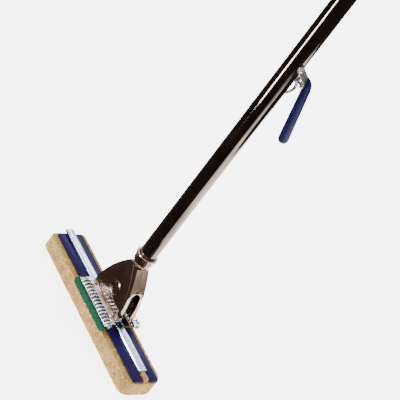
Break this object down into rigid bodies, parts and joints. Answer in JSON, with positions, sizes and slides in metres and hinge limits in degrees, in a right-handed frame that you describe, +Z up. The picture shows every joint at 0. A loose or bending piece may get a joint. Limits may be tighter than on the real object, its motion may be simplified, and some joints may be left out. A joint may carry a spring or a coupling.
{
  "type": "roller sponge mop",
  "caption": "Sponge mop on a long plated tube handle: a side lever pulls the folding sponge up between a pair of ribbed rollers to wring it out.",
  "frame": {"origin": "middle of the sponge's underside between the rollers, where the mop stands on the floor", "axes": "+Z up the handle; +X along the sponge, towards its rounded end; -Y is the front, where the scrubber strip is; the wringing lever stands out on +Y"},
  "size_m": [0.2785, 0.1053, 1.2528],
  "materials": {
    "chrome_plate": "polished",
    "zinc_plate": "bright zinc",
    "bright_steel": "bright",
    "blue_plastic": "semi-gloss",
    "tan_cellulose": "open-pored sponge",
    "green_scrub_fibre": "coarse fibre",
    "grey_nylon": "matte"
  },
  "bodies": {
    "frame": {"frame_front": "chrome_plate", "frame_rear": "chrome_plate", "neck_collar": "chrome_plate", "handle_tube": "chrome_plate", "bracket_front": "zinc_plate", "bracket_rear": "zinc_plate", "scrubber_carrier": "zinc_plate", "axle_front": "bright_steel", "axle_rear": "bright_steel", "axle_front_push_nut": "bright_steel", "axle_rear_push_nut": "bright_steel", "bracket_rivet_1": "bright_steel", "bracket_rivet_2": "bright_steel", "bracket_rivet_3": "bright_steel", "bracket_rivet_4": "bright_steel", "collar_screw_left": "bright_steel", "collar_screw_right": "bright_steel", "hanger_loop": "bright_steel", "pivot_bolt": "bright_steel", "scrubber_pad": "green_scrub_fibre", "top_cap": "grey_nylon", "rod_guide": "grey_nylon"},
    "lever": {"lever_plate": "zinc_plate", "lever_grip": "blue_plastic", "link_pin": "bright_steel"},
    "link": {"curved_link": "bright_steel"},
    "carriage": {"pull_rod": "bright_steel", "rod_pin": "bright_steel", "yoke_bar": "zinc_plate", "stud_1": "bright_steel", "stud_2": "bright_steel", "wing_nut_1": "zinc_plate", "wing_nut_2": "zinc_plate", "spine_channel": "zinc_plate", "sponge": "tan_cellulose"},
    "front_wing": {"wing_front": "blue_plastic"},
    "rear_wing": {"wing_rear": "blue_plastic"},
    "front_roller": {"roller_front": "chrome_plate"},
    "rear_roller": {"roller_rear": "chrome_plate"}
  },
  "joints": [
    {"name": "lever_pivot", "type": "hinge", "parent": "frame", "child": "lever", "pos_m": [0, 0, 0.4917], "axis": [1, 0, 0], "range_deg": [0, 60]},
    {"name": "link_pivot", "type": "hinge", "parent": "lever", "child": "link", "pos_m": [0, 0.02101, 0.46917], "axis": [1, 0, 0], "range_deg": [-68.5, 0]},
    {"name": "carriage_slide", "type": "slide", "parent": "frame", "child": "carriage", "axis": [0, 0, 1], "range_m": [0, 0.0325], "deforming": ["sponge"]},
    {"name": "front_wing_fold", "type": "hinge", "parent": "carriage", "child": "front_wing", "pos_m": [0, -0.006, 0.0275], "axis": [1, 0, 0], "range_deg": [0, 88.5]},
    {"name": "rear_wing_fold", "type": "hinge", "parent": "carriage", "child": "rear_wing", "pos_m": [0, 0.006, 0.0275], "axis": [1, 0, 0], "range_deg": [-88.5, 0]},
    {"name": "front_roller_spin", "type": "hinge", "parent": "frame", "child": "front_roller", "pos_m": [0, -0.0265, 0.036], "axis": [1, 0, 0], "continuous": true},
    {"name": "rear_roller_spin", "type": "hinge", "parent": "frame", "child": "rear_roller", "pos_m": [0, 0.0265, 0.036], "axis": [1, 0, 0], "continuous": true}
  ],
  "couplings": [
    {"joint": "link_pivot", "follows": "lever_pivot", "ratio": -1.13},
    {"joint": "carriage_slide", "follows": "lever_pivot", "m_per_rad": 0.0306},
    {"joint": "front_wing_fold", "follows": "lever_pivot", "ratio": 1.4667},
    {"joint": "rear_wing_fold", "follows": "lever_pivot", "ratio": -1.4667}
  ]
}
